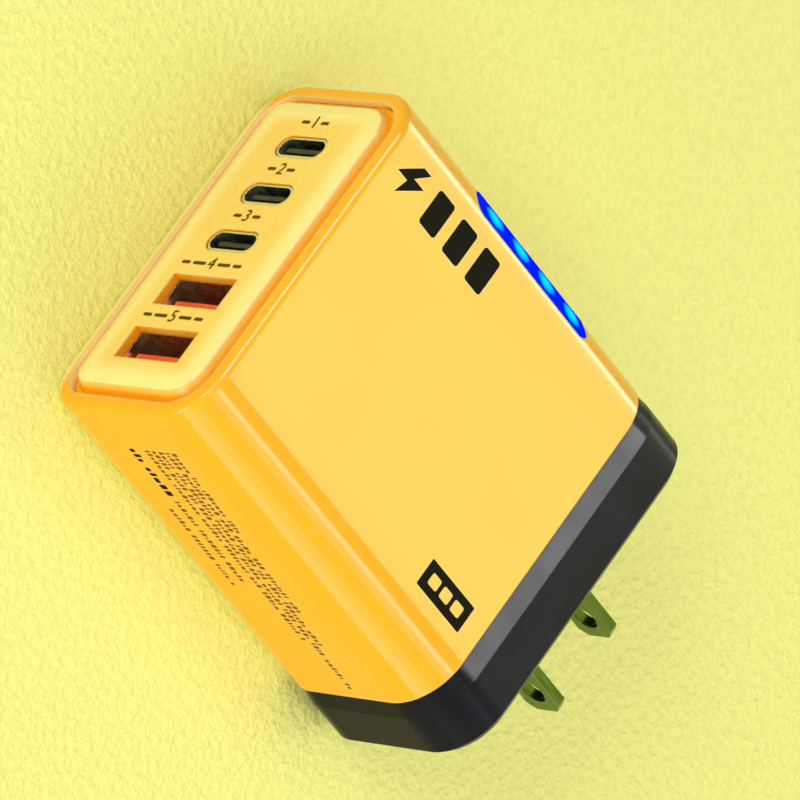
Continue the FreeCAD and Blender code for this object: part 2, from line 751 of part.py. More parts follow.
# Flat receptacles: a folded steel shell, an insert with its tongue to one side, and leaf contacts
for number in range(USB_A_COUNT):
    port_x = d.usb_a_first_x + number * d.usb_a_pitch
    shell = new_body(f"usb_a_shell_{number + 1}", x=port_x)
    sketch = section(shell, skin_back_y)
    centered_rectangle(sketch, d.usb_a_height + 2 * d.usb_a_wall, d.usb_a_width + 2 * d.usb_a_wall)
    centered_rectangle(sketch, d.usb_a_height, d.usb_a_width)
    pad_along(shell, sketch, d.port_board_depth - skin_back_y)
    insert = new_body(f"usb_a_insert_{number + 1}", x=port_x)
    block_y = skin_back_y + d.usb_a_cavity
    sketch = section(insert, block_y)
    centered_rectangle(sketch, d.usb_a_height - 2 * d.insert_gap, d.usb_a_width - 2 * d.insert_gap)
    pad_along(insert, sketch, d.port_board_depth - block_y)
    tongue_y = skin_back_y + d.usb_a_tongue_setback
    tongue_top_x = d.usb_a_height / 2 - d.usb_a_tongue_gap
    tongue_face_x = tongue_top_x - d.usb_a_tongue_thickness
    sketch = section(insert, tongue_y)
    rectangle(sketch, tongue_face_x, -d.usb_a_tongue_width / 2, tongue_top_x, d.usb_a_tongue_width / 2)
    pad_along(insert, sketch, block_y - tongue_y)
    contacts = new_body(f"usb_a_contacts_{number + 1}", x=port_x)
    sketch = section(contacts, tongue_y + d.contact_setback)
    for contact in range(CONTACT_COUNT):
        contact_z = (contact - (CONTACT_COUNT - 1) / 2) * d.contact_pitch
        rectangle(sketch, tongue_face_x - d.contact_thickness, contact_z - d.contact_width / 2,
                  tongue_face_x, contact_z + d.contact_width / 2)
    pad_along(contacts, sketch, d.contact_length)

# Circuit boards: the upright one carries the receptacles, the flat one slides in the rails
port_board = new_body("port_board")
sketch = section(port_board, d.port_board_depth)
board_x = inner_half_width - d.port_board_margin
board_z = d.body_thickness / 2 - d.sleeve_wall - d.port_board_margin
quarter = [(board_x - d.port_board_cut, board_z), (board_x, board_z - d.port_board_cut)]
right_half = quarter + [(x, -z) for x, z in reversed(quarter)]
left_half = [(-x, z) for x, z in reversed(right_half)]
outline(sketch, [(x, z, None) for x, z in right_half + left_half])
pad_along(port_board, sketch, d.board_thickness)
plain_box("main_board", zero, (board_front_y + board_rear_y) / 2, board_bottom_z,
          2 * (inner_half_width - d.board_edge_gap), board_rear_y - board_front_y, d.board_thickness)

# Transformer: a ferrite core with two windows and a taped winding round its middle leg
core = new_body("transformer_core", transformer_x, transformer_y, board_top_z)
sketch = section(core, zero)
rectangle(sketch, -d.core_width / 2, zero, d.core_width / 2, d.core_height)
for sign in (-1, 1):
    centered_rectangle(sketch, window, d.core_height - 2 * d.core_yoke,
                       x=sign * (d.core_leg + window) / 2, y=d.core_height / 2)
add_feature(core, "Pad", sketch, d.core_depth, symmetric=True)


def wound_tube(label, x, y, leg, depth, yoke, height, build, radius=None):
    # A winding round an upright leg, standing between the yokes of its core
    tube = new_body(label, x, y, board_top_z)
    sketch = plan(tube, yoke + d.winding_gap)
    inner_width = leg + 2 * d.winding_gap
    inner_depth = depth + 2 * d.winding_gap
    centered_rectangle(sketch, inner_width + 2 * build, inner_depth + 2 * build, radius)
    centered_rectangle(sketch, inner_width, inner_depth)
    pad_up(tube, sketch, height - 2 * yoke - 2 * d.winding_gap)


wound_tube("transformer_winding", transformer_x, transformer_y, d.core_leg, d.core_depth, d.core_yoke,
           d.core_height, winding_build - d.winding_gap, d.winding_round)


def canned_capacitor(label, x, y, diameter, height):
    # A turned can with a bevel round its top
    can = new_body(label, x, y, board_top_z)
    radius = diameter / 2
    sketch = section(can, zero)
    outline(sketch, [
        (zero, zero, None),
        (radius, zero, None),
        (radius, height - d.can_chamfer, None),
        (radius - d.can_chamfer, height, None),
        (zero, height, None),
    ])
    turn = can.newObject("PartDesign::Revolution", f"{label}_turn")
    turn.Profile = sketch
    turn.ReferenceAxis = (sketch, ["V_Axis"])
    turn.Angle = FULL_TURN


for number in range(BULK_COUNT):
    canned_capacitor(f"bulk_capacitor_{number + 1}", bulk_x,
                     row_start_y + number * bulk_pitch + d.bulk_diameter / 2, d.bulk_diameter, d.bulk_height)
for number in range(OUTPUT_COUNT):
    canned_capacitor(f"output_capacitor_{number + 1}",
                     transformer_x + (number - (OUTPUT_COUNT - 1) / 2) * output_pitch,
                     row_start_y + d.output_diameter / 2, d.output_diameter, d.output_height)

# Film capacitor: a moulded box with bevelled top edges
film = new_body("film_capacitor", film_x, film_y, board_top_z)
sketch = plan(film, zero)
centered_rectangle(sketch, d.film_length, d.film_width)
pad_up(film, sketch, d.film_height)
doc.recompute()
chamfer(film, edges_level(film.Tip.Shape, d.film_height), d.film_chamfer)

# Mains filter choke: a window-frame core with a winding round each of its two legs
choke = new_body("choke_core", choke_x, choke_y, board_top_z)
sketch = section(choke, zero)
rectangle(sketch, -d.choke_width / 2, zero, d.choke_width / 2, d.choke_height)
rectangle(sketch, d.choke_leg - d.choke_width / 2, d.choke_leg, d.choke_width / 2 - d.choke_leg,
          d.choke_height - d.choke_leg)
add_feature(choke, "Pad", sketch, d.choke_depth, symmetric=True)
for number, sign in enumerate((-1, 1), start=1):
    leg_x = sign * (d.choke_width - d.choke_leg) / 2
    wound_tube(f"choke_winding_{number}", choke_x + leg_x, choke_y, d.choke_leg, d.choke_depth, d.choke_leg,
               d.choke_height, d.choke_build)

# Fuse, rectifier, power chip, heat spreader and insulating sheet
plain_box("fuse", zero, board_rear_y - d.component_gap - d.fuse_width / 2, board_top_z,
          d.fuse_length, d.fuse_width, d.fuse_height)
plain_box("rectifier", rectifier_x, row_start_y + d.rectifier_length / 2, board_top_z,
          d.rectifier_width, d.rectifier_length, d.rectifier_height)
chip_bottom_z = board_bottom_z - d.chip_height
spreader_bottom_z = chip_bottom_z - d.spreader_thickness
plain_box("power_chip", transformer_x, transformer_y, chip_bottom_z, d.chip_side, d.chip_side, d.chip_height)
plain_box("heat_spreader", zero, transformer_y, spreader_bottom_z,
          d.spreader_width, d.spreader_length, d.spreader_thickness)
plain_box("insulating_sheet", zero, (board_front_y + board_rear_y) / 2, spreader_bottom_z - d.sheet_thickness,
          2 * (rail_tip_x - d.component_gap), board_rear_y - board_front_y - 2 * d.component_gap,
          d.sheet_thickness)

doc.recompute()
for item in doc.Objects:
    if "Invalid" in item.State or "Error" in item.State:
        raise RuntimeError(f"{item.Name} failed: {item.State}")
for node in nodes:
    if node.Shape.isNull() or not node.Shape.isValid():
        raise RuntimeError(f"{node.Label} has no valid shape")

os.makedirs("parts", exist_ok=True)
for node in nodes:
    node.Shape.exportStep(f"parts/{node.Label}.step")
print(f"{len(nodes)} pieces written")
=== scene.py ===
import math
import random

import bmesh
import bpy
from mathutils import Matrix, Vector


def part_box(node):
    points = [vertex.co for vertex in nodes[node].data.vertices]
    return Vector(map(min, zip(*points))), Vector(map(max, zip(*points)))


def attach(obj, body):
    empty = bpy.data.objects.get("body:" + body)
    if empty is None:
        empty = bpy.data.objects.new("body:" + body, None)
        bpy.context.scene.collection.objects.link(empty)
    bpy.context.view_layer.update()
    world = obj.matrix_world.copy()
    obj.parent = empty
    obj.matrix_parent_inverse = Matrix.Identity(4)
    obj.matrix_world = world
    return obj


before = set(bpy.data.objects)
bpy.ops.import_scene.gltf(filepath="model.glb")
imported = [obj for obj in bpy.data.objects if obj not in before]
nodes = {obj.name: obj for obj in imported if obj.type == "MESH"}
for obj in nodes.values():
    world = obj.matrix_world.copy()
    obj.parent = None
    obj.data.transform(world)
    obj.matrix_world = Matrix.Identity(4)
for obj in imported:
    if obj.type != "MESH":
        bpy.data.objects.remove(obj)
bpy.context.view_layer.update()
mm = 0.001
scene = bpy.context.scene
scene.view_settings.view_transform = "Standard"
print("frame loaded:", len(nodes), "pieces")

sleeveLow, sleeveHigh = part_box("housing_sleeve")
barLow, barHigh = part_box("light_bar")
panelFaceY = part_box("port_panel")[0].y
middleZ = (sleeveLow.z + sleeveHigh.z) / 2
rimY = sleeveLow.y  # print places are measured from the rim
alongX, alongY, alongZ = Vector((1, 0, 0)), Vector((0, 1, 0)), Vector((0, 0, 1))

softSpan = (0.35, 0.65)  # the middle of a noise's values, for a clear change of tone
wideSpan = (0.3, 0.7)  # nearly all of them, for a gradual one
edgeSpan = (0.98, 0.82)  # the painted edge highlight starts and is full where the rounded normal leans this far, as a cosine
paintedGrooveSpan = (0.97, 0.7)  # the painted groove tone starts and is full where this share of it is open
farOff = 1.0  # metres: beyond every face


def linear(hexCode):
    parts = [int(hexCode[i:i + 2], 16) / 255 for i in (1, 3, 5)]
    return tuple(c / 12.92 if c <= 0.04045 else ((c + 0.055) / 1.055) ** 2.4 for c in parts) + (1.0,)


def addNode(tree, kind, feeds=None, stops=(), **settings):
    # feeds are values or links by socket name; stops are (position, hex) for a colour ramp, its two ends first
    made = tree.nodes.new("ShaderNode" + kind)
    for name, value in settings.items():
        setattr(made, name, value)
    for index, (position, hexCode) in enumerate(stops):
        element = made.color_ramp.elements[index] if index < 2 else made.color_ramp.elements.new(position)
        element.position = position
        element.color = linear(hexCode)
    for name, value in (feeds or {}).items():
        if isinstance(value, bpy.types.NodeSocket):
            tree.links.new(value, made.inputs[name])
        else:
            made.inputs[name].default_value = value
    return made


def newMaterial(name, finish):
    material = bpy.data.materials.new(name)
    material.use_nodes = True
    tree = material.node_tree
    shader = tree.nodes["Principled BSDF"]
    for socket, value in finish.items():
        shader.inputs[socket].default_value = linear(value) if isinstance(value, str) else value
    material.diffuse_color = shader.inputs["Base Color"].default_value
    place = addNode(tree, "TexCoord").outputs["Object"]
    return material, tree, shader, place


def give(material, *names):
    for name in names:
        nodes[name].data.materials.clear()
        nodes[name].data.materials.append(material)


def placed(right, up, origin):
    # turns a flat drawing, a lamp or the camera from (right, up, out) to its place
    return Matrix.Translation(origin) @ Matrix((right, up, right.cross(up))).transposed().to_4x4()


# Gloss ABS from a polished mould: an even colour with a painted tone away from the middle of the face (painted
# shade on the sleeve's narrow sides, a painted highlight on the panel's bevel), a faint orange peel, a painted
# highlight on the edges, and a painted tone in the grooves by how open they are (pale painted light in the sleeve's,
# painted shade in the panel's and the base's)
def glossMoulded(name, look):
    material, tree, shader, place = newMaterial(name, look["finish"])
    link = tree.links.new
    cloud = addNode(tree, "TexNoise", {"Vector": place, "Scale": 1 / (look["cloudMm"] * mm), "Detail": 3.0})
    tone = addNode(tree, "ValToRGB", {"Fac": cloud.outputs["Fac"]}, zip(softSpan, (look["shade"], look["colour"])))
    colour = tone.outputs["Color"]
    # painted tone: the colour moves to the outer colour away from the middle, as painted shade or painted highlight
    # per look
    if "paintedOuter" in look:
        shifted = addNode(tree, "VectorMath", {0: place, 1: look["middle"]}, operation="SUBTRACT")
        apart = addNode(tree, "VectorMath", {0: shifted.outputs["Vector"]}, operation="ABSOLUTE")
        beyond = addNode(tree, "VectorMath", {0: apart.outputs["Vector"], 1: look["paintedOuterFrom"]}, operation="SUBTRACT")
        positive = addNode(tree, "VectorMath", {0: beyond.outputs["Vector"], 1: (0, 0, 0)}, operation="MAXIMUM")
        outwards = addNode(tree, "VectorMath", {0: positive.outputs["Vector"]}, operation="LENGTH")
        share = addNode(tree, "MapRange", {"Value": outwards.outputs["Value"], "From Max": look["paintedOuterMm"] * mm},
                        interpolation_type="SMOOTHSTEP")
        paintedOuter = addNode(tree, "Mix", {"Factor": share.outputs["Result"], "A": colour, "B": linear(look["paintedOuter"])},
                        data_type="RGBA")
        colour = paintedOuter.outputs["Result"]
    rounded = addNode(tree, "Bevel", {"Radius": look["edgeMm"] * mm}, samples=6)
    flat = addNode(tree, "NewGeometry")
    facing = addNode(tree, "VectorMath", {0: rounded.outputs["Normal"], 1: flat.outputs["Normal"]},
                     operation="DOT_PRODUCT")
    # painted highlight: the edge colour is mixed in where the rounded normal leans away from the face
    edge = addNode(tree, "MapRange", {"Value": facing.outputs["Value"], "From Min": edgeSpan[0],
                                      "From Max": edgeSpan[1], "To Min": 0.0, "To Max": look["edgeWear"]})
    edgeHighlighted = addNode(tree, "Mix", {"Factor": edge.outputs["Result"], "A": colour, "B": linear(look["edge"])},
                     data_type="RGBA")
    # colour is deep, painted light where it is pale
    # painted groove tone: the groove colour is mixed in where little round a point is open; painted shade where that
    paintedGroove = addNode(tree, "AmbientOcclusion", {"Distance": look["paintedGrooveMm"] * mm}, samples=8)
    depth = addNode(tree, "MapRange", {"Value": paintedGroove.outputs["AO"], "From Min": paintedGrooveSpan[0],
                                       "From Max": paintedGrooveSpan[1], "To Min": 0.0, "To Max": look["paintedGrooveShare"]})
    groovePainted = addNode(tree, "Mix", {"Factor": depth.outputs["Result"], "A": edgeHighlighted.outputs["Result"],
                                   "B": linear(look["paintedGroove"])}, data_type="RGBA")
    link(groovePainted.outputs["Result"], shader.inputs["Base Color"])
    smear = addNode(tree, "TexNoise", {"Vector": place, "Scale": 1 / (look["smearMm"] * mm), "Detail": 4.0})
    gloss = addNode(tree, "MapRange", {"Value": smear.outputs["Fac"], "From Min": wideSpan[0],
                                       "From Max": wideSpan[1], "To Min": look["gloss"][0],
                                       "To Max": look["gloss"][1]})
    link(gloss.outputs["Result"], shader.inputs["Roughness"])
    peel = addNode(tree, "TexNoise", {"Vector": place, "Scale": 1 / (look["peelMm"] * mm), "Detail": 2.0})
    bump = addNode(tree, "Bump", {"Strength": look["peelStrength"], "Distance": look["peelDepthMm"] * mm,
                                  "Height": peel.outputs["Fac"], "Normal": rounded.outputs["Normal"]})
    link(bump.outputs["Normal"], shader.inputs["Normal"])
    return material


# light in the grooves, and the outer colour is painted shade on the narrow sides
# painted light and shade on the sleeve: the edge colour is a painted highlight, the groove colour is pale painted
sleeveLook = {
    "finish": {"IOR": 1.54, "Roughness": 0.09, "Base Color": "#fdb81c"},
    "colour": "#feba22", "shade": "#fcb518", "edge": "#fff0b4", "paintedGroove": "#fff2b0",
    "paintedOuter": "#fdb216", "paintedOuterMm": 6.0, "middle": (0, 0, 0),
    "paintedOuterFrom": (14.5 * mm, farOff, farOff),  # painted shade: a little deeper towards both narrow sides
    "cloudMm": 14.0, "edgeMm": 0.5, "edgeWear": 0.9, "paintedGrooveMm": 2.5, "paintedGrooveShare": 1.0,
    "smearMm": 5.0, "gloss": (0.07, 0.11), "peelMm": 0.8, "peelStrength": 0.06, "peelDepthMm": 0.01,
}
# painted light and shade on the panel: the edge colour is a painted highlight, the groove colour is deep golden
# painted shade in the grooves, and the outer colour is a painted highlight on its wide bevel
panelLook = dict(
    sleeveLook, finish={"IOR": 1.54, "Roughness": 0.26, "Base Color": "#ffd874"},
    colour="#ffda78", shade="#fed46c", edge="#fff6d0", edgeWear=0.4, paintedGroove="#ffac00", paintedGrooveMm=5.0,
    paintedOuter="#ffec9e", paintedOuterMm=2.6, middle=(0, 0, middleZ), gloss=(0.22, 0.3),
    paintedOuterFrom=(19.6 * mm, farOff, 7.2 * mm),  # painted highlight: its wide bevel is painted paler from here outwards
)
# near-black painted shade in the grooves
# painted light and shade on the base: the edge colour is a grey painted highlight, and the groove colour is
baseLook = {
    "finish": {"IOR": 1.5, "Roughness": 0.19, "Base Color": "#1e1e24", "Specular IOR Level": 0.035},
    "colour": "#202027", "shade": "#1b1b20", "edge": "#4a4a4e", "paintedGroove": "#0c0c0d",
    "cloudMm": 10.0, "edgeMm": 0.2, "edgeWear": 0.35, "paintedGrooveMm": 1.0, "paintedGrooveShare": 0.7,
    "smearMm": 4.0, "gloss": (0.16, 0.22), "peelMm": 0.6, "peelStrength": 0.08, "peelDepthMm": 0.01,
}
give(glossMoulded("yellow_abs_gloss_moulded", sleeveLook), "housing_sleeve")
give(glossMoulded("yellow_abs_panel_moulded", panelLook), "port_panel")
give(glossMoulded("black_abs_gloss_moulded", baseLook), "base_cover", "blade_clamp")
print("moulded covers done")


# Plated strip: bright metal with fine lines drawn along it and duller patches where it was handled; the lines are
# some ten times coarser than real ones, so that they show
def platedStrip(name, look):
    material, tree, shader, place = newMaterial(name, look["finish"])
    link = tree.links.new
    stretch = addNode(tree, "Mapping", {"Vector": place, "Scale": look["grain"]})
    lines = addNode(tree, "TexNoise", {"Vector": stretch.outputs["Vector"], "Scale": 1 / (look["lineMm"] * mm),
                                       "Detail": 4.0})
    tone = addNode(tree, "ValToRGB", {"Fac": lines.outputs["Fac"]}, zip(wideSpan, (look["shade"], look["colour"])))
    link(tone.outputs["Color"], shader.inputs["Base Color"])
    patch = addNode(tree, "TexNoise", {"Vector": place, "Scale": 1 / (look["patchMm"] * mm), "Detail": 3.0})
    dull = addNode(tree, "MapRange", {"Value": patch.outputs["Fac"], "From Min": wideSpan[0],
                                      "From Max": wideSpan[1], "To Min": look["gloss"][0],
                                      "To Max": look["gloss"][1]})
    link(dull.outputs["Result"], shader.inputs["Roughness"])
    rounded = addNode(tree, "Bevel", {"Radius": look["edgeMm"] * mm}, samples=4)
    bump = addNode(tree, "Bump", {"Strength": look["lineStrength"], "Distance": look["lineDepthMm"] * mm,
                                  "Height": lines.outputs["Fac"], "Normal": rounded.outputs["Normal"]})
    link(bump.outputs["Normal"], shader.inputs["Normal"])
    return material


bladeLook = {  # olive sheen, brightest on the narrow edges
    "finish": {"Metallic": 1.0, "Roughness": 0.22, "Base Color": "#647c42"},
    "colour": "#6f884a", "shade": "#566d36", "grain": (1.0, 0.08, 1.0),
    "lineMm": 0.25, "patchMm": 3.0, "gloss": (0.16, 0.3), "edgeMm": 0.15, "lineStrength": 0.15, "lineDepthMm": 0.01,
}
shellLook = {  # a thin pale ring round each socket
    "finish": {"Metallic": 1.0, "Roughness": 0.25, "Base Color": "#e0e4d4"},
    "colour": "#e8ecdc", "shade": "#cfd4c0", "grain": (1.0, 0.1, 1.0),
    "lineMm": 0.2, "patchMm": 2.0, "gloss": (0.18, 0.32), "edgeMm": 0.06, "lineStrength": 0.12, "lineDepthMm": 0.01,
}
contactLook = dict(shellLook, finish={"Metallic": 1.0, "Roughness": 0.2, "Base Color": "#d9ad55"},
                   colour="#e0b55c", shade="#c4983f")  # warm gold glints
spreaderLook = dict(shellLook, finish={"Metallic": 1.0, "Roughness": 0.35, "Base Color": "#c9cacb"},
                    colour="#cfd0d1", shade="#babcbe", gloss=(0.3, 0.42))  # soft grey, with no clear reflections
canLook = dict(shellLook, finish={"Metallic": 1.0, "Roughness": 0.3, "Base Color": "#9aa0a8"},
               colour="#a5abb3", shade="#8a9099", grain=(1.0, 1.0, 0.1))  # blue grey, lines up the can
strapLook = dict(shellLook, finish={"Metallic": 1.0, "Roughness": 0.3, "Base Color": "#c79a4a"},
                 colour="#cfa354", shade="#b0853a")  # yellow metal, a little dull
shells = [name for name in nodes if "_shell_" in name]
give(platedStrip("nickel_plated_blade_drawn", bladeLook), "blade_left", "blade_right")
give(platedStrip("nickel_plated_steel_folded", shellLook), *shells)
give(platedStrip("gold_flash_contact_stamped", contactLook), *[name for name in nodes if "_contacts_" in name])
give(platedStrip("aluminium_sheet_rolled", spreaderLook), "heat_spreader")
give(platedStrip("aluminium_can_drawn", canLook), *[name for name in nodes if "_capacitor_" in name])
give(platedStrip("brass_strap_stamped", strapLook), "live_strap", "neutral_strap")
print("metal done")


# Filled resin, ferrite and film: a speckle from the filler and a slightly uneven sheen; the specks are coarser than
# real filler, so that they show
def speckledResin(name, look):
    material, tree, shader, place = newMaterial(name, look["finish"])
    link = tree.links.new
    speck = addNode(tree, "TexNoise", {"Vector": place, "Scale": 1 / (look["speckMm"] * mm), "Detail": 5.0})
    tone = addNode(tree, "ValToRGB", {"Fac": speck.outputs["Fac"]}, zip(softSpan, (look["shade"], look["colour"])))
    link(tone.outputs["Color"], shader.inputs["Base Color"])
    sheen = addNode(tree, "MapRange", {"Value": speck.outputs["Fac"], "From Min": wideSpan[0],
                                       "From Max": wideSpan[1], "To Min": look["gloss"][0],
                                       "To Max": look["gloss"][1]})
    link(sheen.outputs["Result"], shader.inputs["Roughness"])
    bump = addNode(tree, "Bump", {"Strength": look["grit"], "Distance": gritDepth, "Height": speck.outputs["Fac"]})
    link(bump.outputs["Normal"], shader.inputs["Normal"])
    return material


gritDepth = 0.02 * mm
resinLooks = {
    "black_resin_insert_moulded": {  # dark and dull, so that only the tongue's edge shows in the socket
        "finish": {"IOR": 1.55, "Roughness": 0.42, "Base Color": "#141619"}, "colour": "#181a1d",
        "shade": "#0f1113", "speckMm": 0.2, "gloss": (0.35, 0.5), "grit": 0.2,
        "nodes": ["usb_c_insert_1", "usb_c_insert_2", "usb_c_insert_3"]},
    "orange_resin_insert_moulded": {  # a strong orange edge over a dark socket
        "finish": {"IOR": 1.55, "Roughness": 0.38, "Base Color": "#f0501a"}, "colour": "#f5561d",
        "shade": "#e24716", "speckMm": 0.25, "gloss": (0.32, 0.45), "grit": 0.15,
        "nodes": ["usb_a_insert_1", "usb_a_insert_2"]},
    "ferrite_sintered": {  # dull dark grey with a stony grain
        "finish": {"IOR": 2.0, "Roughness": 0.6, "Base Color": "#3a3a3d"}, "colour": "#444447",
        "shade": "#2e2e31", "speckMm": 0.3, "gloss": (0.5, 0.7), "grit": 0.4,
        "nodes": ["transformer_core", "choke_core"]},
    "epoxy_chip_moulded": {  # matt black, finely gritty
        "finish": {"IOR": 1.55, "Roughness": 0.55, "Base Color": "#1d1d1e"}, "colour": "#232324",
        "shade": "#171718", "speckMm": 0.15, "gloss": (0.5, 0.65), "grit": 0.3,
        "nodes": ["rectifier", "power_chip"]},
    "brown_resin_fuse_moulded": {  # dark brown, half matt
        "finish": {"IOR": 1.55, "Roughness": 0.5, "Base Color": "#3b2a20"}, "colour": "#443126",
        "shade": "#30221a", "speckMm": 0.3, "gloss": (0.4, 0.55), "grit": 0.2,
        "nodes": ["fuse"]},
    "yellow_box_film_moulded": {  # even yellow with a soft shine
        "finish": {"IOR": 1.52, "Roughness": 0.35, "Base Color": "#d9b52e"}, "colour": "#debb36",
        "shade": "#cda928", "speckMm": 0.5, "gloss": (0.3, 0.42), "grit": 0.12,
        "nodes": ["film_capacitor"]},
    "polyester_film_cut": {  # milky white with a soft shine
        "finish": {"IOR": 1.57, "Roughness": 0.3, "Base Color": "#e3e2d8"}, "colour": "#e8e7de",
        "shade": "#dad9cd", "speckMm": 1.2, "gloss": (0.25, 0.38), "grit": 0.08,
        "nodes": ["insulating_sheet"]},
    "clear_epoxy_lamp_cast": {  # pale and glassy
        "finish": {"IOR": 1.52, "Roughness": 0.15, "Base Color": "#e6eef2"}, "colour": "#edf4f7",
        "shade": "#dae5eb", "speckMm": 0.6, "gloss": (0.12, 0.2), "grit": 0.05,
        "nodes": ["indicator_leds"]},
    "polyester_ribbon_laminated": {  # pale grey, slightly clouded
        "finish": {"IOR": 1.57, "Roughness": 0.38, "Base Color": "#e2e4e6"}, "colour": "#e9ebec",
        "shade": "#d3d6d9", "speckMm": 0.8, "gloss": (0.3, 0.45), "grit": 0.1,
        "nodes": ["indicator_ribbon"]},
}
for name, look in resinLooks.items():
    give(speckledResin(name, look), *look["nodes"])
print("resins done")


# Wound pieces: tight turns, each a fine rounded ridge that catches a line of light
def woundTurns(name, look):
    material, tree, shader, place = newMaterial(name, look["finish"])
    link = tree.links.new
    turns = addNode(tree, "TexWave", {"Vector": place, "Scale": wavePeriod / (look["turnMm"] * mm),
                                      "Distortion": 0.4, "Detail": 1.0}, bands_direction=look["across"])
    tone = addNode(tree, "ValToRGB", {"Fac": turns.outputs["Fac"]}, zip(turnSpan, (look["shade"], look["colour"])))
    link(tone.outputs["Color"], shader.inputs["Base Color"])
    bump = addNode(tree, "Bump", {"Strength": 0.5, "Distance": turnDepth, "Height": turns.outputs["Fac"]})
    link(bump.outputs["Normal"], shader.inputs["Normal"])
    return material


wavePeriod = 0.314  # metres from ridge to ridge in a wave texture of scale 1
turnSpan = (0.1, 0.7)  # dark only down in the groove
turnDepth = 0.08 * mm
windingLooks = {
    "polyester_tape_wound": {
        "finish": {"IOR": 1.57, "Roughness": 0.3, "Base Color": "#d9a321"}, "colour": "#dfab2b",
        "shade": "#b98616", "turnMm": 2.4, "across": "Z", "nodes": ["transformer_winding"]},
    "enamelled_copper_wound": {
        "finish": {"Metallic": 1.0, "Roughness": 0.3, "Base Color": "#b8622f"}, "colour": "#c26b36",
        "shade": "#6e3315", "turnMm": 0.5, "across": "Z", "nodes": ["choke_winding_1", "choke_winding_2"]},
}
for name, look in windingLooks.items():
    give(woundTurns(name, look), *look["nodes"])

# Fibreglass board under green solder mask: paler tracks over darker laminate, slightly raised
boardLook = {
    "finish": {"IOR": 1.55, "Roughness": 0.35, "Base Color": "#1d6b3a"},
    "mask": "#155a2f", "track": "#2a8450", "trackMm": 1.2, "tracksApart": 4, "trackShare": 0.04, "trackRise": 0.2,
    "weaveMm": 0.5, "reliefMm": 0.03, "relief": 0.3,
}
boardMaterial, tree, shader, place = newMaterial("solder_mask_on_fibreglass", boardLook["finish"])
trackScale = 1 / (boardLook["trackMm"] * boardLook["tracksApart"] * mm)
tracks = addNode(tree, "TexBrick", {"Vector": place, "Scale": trackScale, "Mortar Size": boardLook["trackShare"],
                                    "Color1": linear(boardLook["mask"]), "Color2": linear(boardLook["mask"]),
                                    "Mortar": linear(boardLook["track"])})
tree.links.new(tracks.outputs["Color"], shader.inputs["Base Color"])
weave = addNode(tree, "TexNoise", {"Vector": place, "Scale": 1 / (boardLook["weaveMm"] * mm)})
raised = addNode(tree, "Math", {0: tracks.outputs["Fac"], 1: boardLook["trackRise"], 2: weave.outputs["Fac"]},
                 operation="MULTIPLY_ADD")
bump = addNode(tree, "Bump", {"Strength": boardLook["relief"], "Distance": boardLook["reliefMm"] * mm,
                              "Height": raised.outputs["Value"]})
tree.links.new(bump.outputs["Normal"], shader.inputs["Normal"])
give(boardMaterial, "port_board", "main_board", "indicator_board")
print("inner pieces done")

# Tinted clear acrylic lens: deep blue, lit from behind by four lamps that show as pale spots with a soft edge
lensLook = {
    "finish": {"IOR": 1.49, "Roughness": 0.25, "Base Color": "#020a3c", "Specular IOR Level": 0.0,
               "Emission Strength": 1.0},
    "tint": "#001cf5", "spot": "#00b8ff", "core": "#0cf0ff", "spotAt": 0.45,
    "pitchMm": 6.1, "spotLengthMm": 2.1, "spotWidthMm": 1.4, "leanDeg": 40.5,
    "cornerMm": 7.8,  # radius of the sleeve's corner that the lens follows
    "rippleMm": 1.5, "rippleDepthMm": 0.02, "ripple": 0.06,
}
lensMaterial, tree, shader, place = newMaterial("tinted_clear_lens_moulded", lensLook["finish"])
halfPitch = 0.5 * lensLook["pitchMm"] * mm
barMiddle = (barLow + barHigh) / 2
lean = math.radians(lensLook["leanDeg"])
cornerAxis = Vector((sleeveLow.x + lensLook["cornerMm"] * mm, 0, sleeveHigh.z - lensLook["cornerMm"] * mm))
split = addNode(tree, "SeparateXYZ", {"Vector": place})
steps = addNode(tree, "Math", {0: split.outputs["Y"], 1: barMiddle.y + halfPitch}, operation="SUBTRACT")
along = addNode(tree, "Math", {0: steps.outputs["Value"], 1: halfPitch}, operation="PINGPONG")
shifted = addNode(tree, "VectorMath", {0: place, 1: cornerAxis}, operation="SUBTRACT")
across = addNode(tree, "VectorMath", {0: shifted.outputs["Vector"], 1: (math.cos(lean), 0, math.sin(lean))},
                 operation="DOT_PRODUCT")
squares = []
for distance, size in ((along, lensLook["spotLengthMm"]), (across, lensLook["spotWidthMm"])):
    part = addNode(tree, "Math", {0: distance.outputs["Value"], 1: size * mm}, operation="DIVIDE").outputs["Value"]
    squares.append(addNode(tree, "Math", {0: part, 1: part}, operation="MULTIPLY").outputs["Value"])
spread = addNode(tree, "Math", {0: squares[0], 1: squares[1]}, operation="ADD")
glow = addNode(tree, "ValToRGB", {"Fac": spread.outputs["Value"]},
               [(0.0, lensLook["core"]), (1.0, lensLook["tint"]), (lensLook["spotAt"], lensLook["spot"])])
tree.links.new(glow.outputs["Color"], shader.inputs["Emission Color"])
ripple = addNode(tree, "TexNoise", {"Vector": place, "Scale": 1 / (lensLook["rippleMm"] * mm)})
bump = addNode(tree, "Bump", {"Strength": lensLook["ripple"], "Distance": lensLook["rippleDepthMm"] * mm,
                              "Height": ripple.outputs["Fac"]})
tree.links.new(bump.outputs["Normal"], shader.inputs["Normal"])
give(lensMaterial, "light_bar")
print("light bar done")


